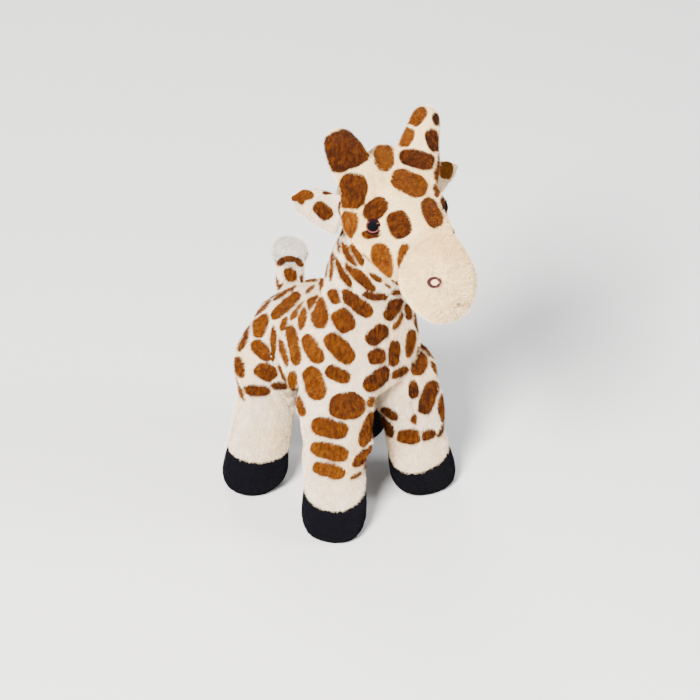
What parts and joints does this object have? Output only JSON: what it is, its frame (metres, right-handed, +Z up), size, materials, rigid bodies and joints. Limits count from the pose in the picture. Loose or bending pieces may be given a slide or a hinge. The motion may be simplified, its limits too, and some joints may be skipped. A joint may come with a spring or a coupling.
{
  "type": "standing plush giraffe toy",
  "caption": "Soft stuffed giraffe calf standing on stuffed legs, with round hips, a stout neck, a turned head, soft horns and ears, and a pompom-tipped tail; its limbs bend at their seams.",
  "frame": {"origin": "on the ground under the middle of the whole giraffe's bounding box", "axes": "+Z up; the body faces -Y; +X is the giraffe's left side"},
  "size_m": [0.134, 0.2047, 0.3021],
  "materials": {
    "printed_plush": "short pile, cream with brown patches",
    "cream_plush": "short pile",
    "white_plush": "long pile",
    "black_plush": "short pile",
    "dark_thread": "satin stitch",
    "fibre_filling": "loose polyester fibre"
  },
  "bodies": {
    "torso": {"torso_panel_left": "printed_plush", "torso_panel_right": "printed_plush", "belly_gusset": "printed_plush", "torso_stuffing": "fibre_filling"},
    "neck": {"neck_cover": "printed_plush", "neck_stuffing": "fibre_filling"},
    "head": {"head_side_left": "printed_plush", "head_side_right": "printed_plush", "forehead_gusset": "printed_plush", "muzzle_cover": "cream_plush", "head_stuffing": "fibre_filling", "horn_left": "printed_plush", "horn_right": "printed_plush", "horn_stuffing_left": "fibre_filling", "horn_stuffing_right": "fibre_filling", "eye_left": "dark_thread", "eye_right": "dark_thread", "nostril_left": "dark_thread", "nostril_right": "dark_thread"},
    "ear_left": {"ear_back_left": "printed_plush", "ear_lining_left": "cream_plush"},
    "ear_right": {"ear_back_right": "printed_plush", "ear_lining_right": "cream_plush"},
    "leg_front_left": {"leg_outer_front_left": "printed_plush", "leg_inner_front_left": "printed_plush", "leg_lower_front_left": "cream_plush", "hoof_front_left": "black_plush", "sole_front_left": "black_plush", "leg_stuffing_front_left": "fibre_filling"},
    "leg_front_right": {"leg_outer_front_right": "printed_plush", "leg_inner_front_right": "printed_plush", "leg_lower_front_right": "cream_plush", "hoof_front_right": "black_plush", "sole_front_right": "black_plush", "leg_stuffing_front_right": "fibre_filling"},
    "leg_rear_left": {"leg_outer_rear_left": "printed_plush", "leg_inner_rear_left": "printed_plush", "leg_lower_rear_left": "cream_plush", "hoof_rear_left": "black_plush", "sole_rear_left": "black_plush", "leg_stuffing_rear_left": "fibre_filling"},
    "leg_rear_right": {"leg_outer_rear_right": "printed_plush", "leg_inner_rear_right": "printed_plush", "leg_lower_rear_right": "cream_plush", "hoof_rear_right": "black_plush", "sole_rear_right": "black_plush", "leg_stuffing_rear_right": "fibre_filling"},
    "tail": {"tail_cover": "printed_plush", "tail_stuffing": "fibre_filling", "tail_tassel": "white_plush"}
  },
  "joints": [
    {"name": "hip_front_left", "type": "hinge", "parent": "torso", "child": "leg_front_left", "pos_m": [0.0283, 0.012, 0.088], "axis": [1, 0, 0], "range_deg": [-14, 8], "stiffness_Nm_per_rad": 1.5},
    {"name": "hip_front_right", "type": "hinge", "parent": "torso", "child": "leg_front_right", "pos_m": [-0.0283, 0.012, 0.088], "axis": [1, 0, 0], "range_deg": [-14, 8], "stiffness_Nm_per_rad": 1.5},
    {"name": "hip_rear_left", "type": "hinge", "parent": "torso", "child": "leg_rear_left", "pos_m": [0.0327, 0.071, 0.096], "axis": [1, 0, 0], "range_deg": [-8, 14], "stiffness_Nm_per_rad": 1.5},
    {"name": "hip_rear_right", "type": "hinge", "parent": "torso", "child": "leg_rear_right", "pos_m": [-0.0327, 0.071, 0.096], "axis": [1, 0, 0], "range_deg": [-8, 14], "stiffness_Nm_per_rad": 1.5},
    {"name": "neck_lean", "type": "hinge", "parent": "torso", "child": "neck", "pos_m": [0, 0.0215, 0.128], "axis": [1, 0, 0], "range_deg": [-8, 8], "stiffness_Nm_per_rad": 1.5},
    {"name": "head_turn", "type": "hinge", "parent": "neck", "child": "head", "pos_m": [0, 0.00595, 0.208], "axis": [0, -0.1908, 0.9816], "range_deg": [-16, 44], "stiffness_Nm_per_rad": 1},
    {"name": "ear_flap_left", "type": "hinge", "parent": "head", "child": "ear_left", "pos_m": [0.02886, -0.00673, 0.2379], "axis": [-0.1908, 0.1573, 0.9689], "range_deg": [-12, 12], "stiffness_Nm_per_rad": 0.05},
    {"name": "ear_flap_right", "type": "hinge", "parent": "head", "child": "ear_right", "pos_m": [-0.03032, 0.00802, 0.2379], "axis": [0.4101, -0.0135, 0.9119], "range_deg": [-12, 12], "stiffness_Nm_per_rad": 0.05},
    {"name": "tail_swing", "type": "hinge", "parent": "torso", "child": "tail", "pos_m": [0, 0.0905, 0.123], "axis": [1, 0, 0], "range_deg": [-35, 12], "stiffness_Nm_per_rad": 0.1}
  ]
}
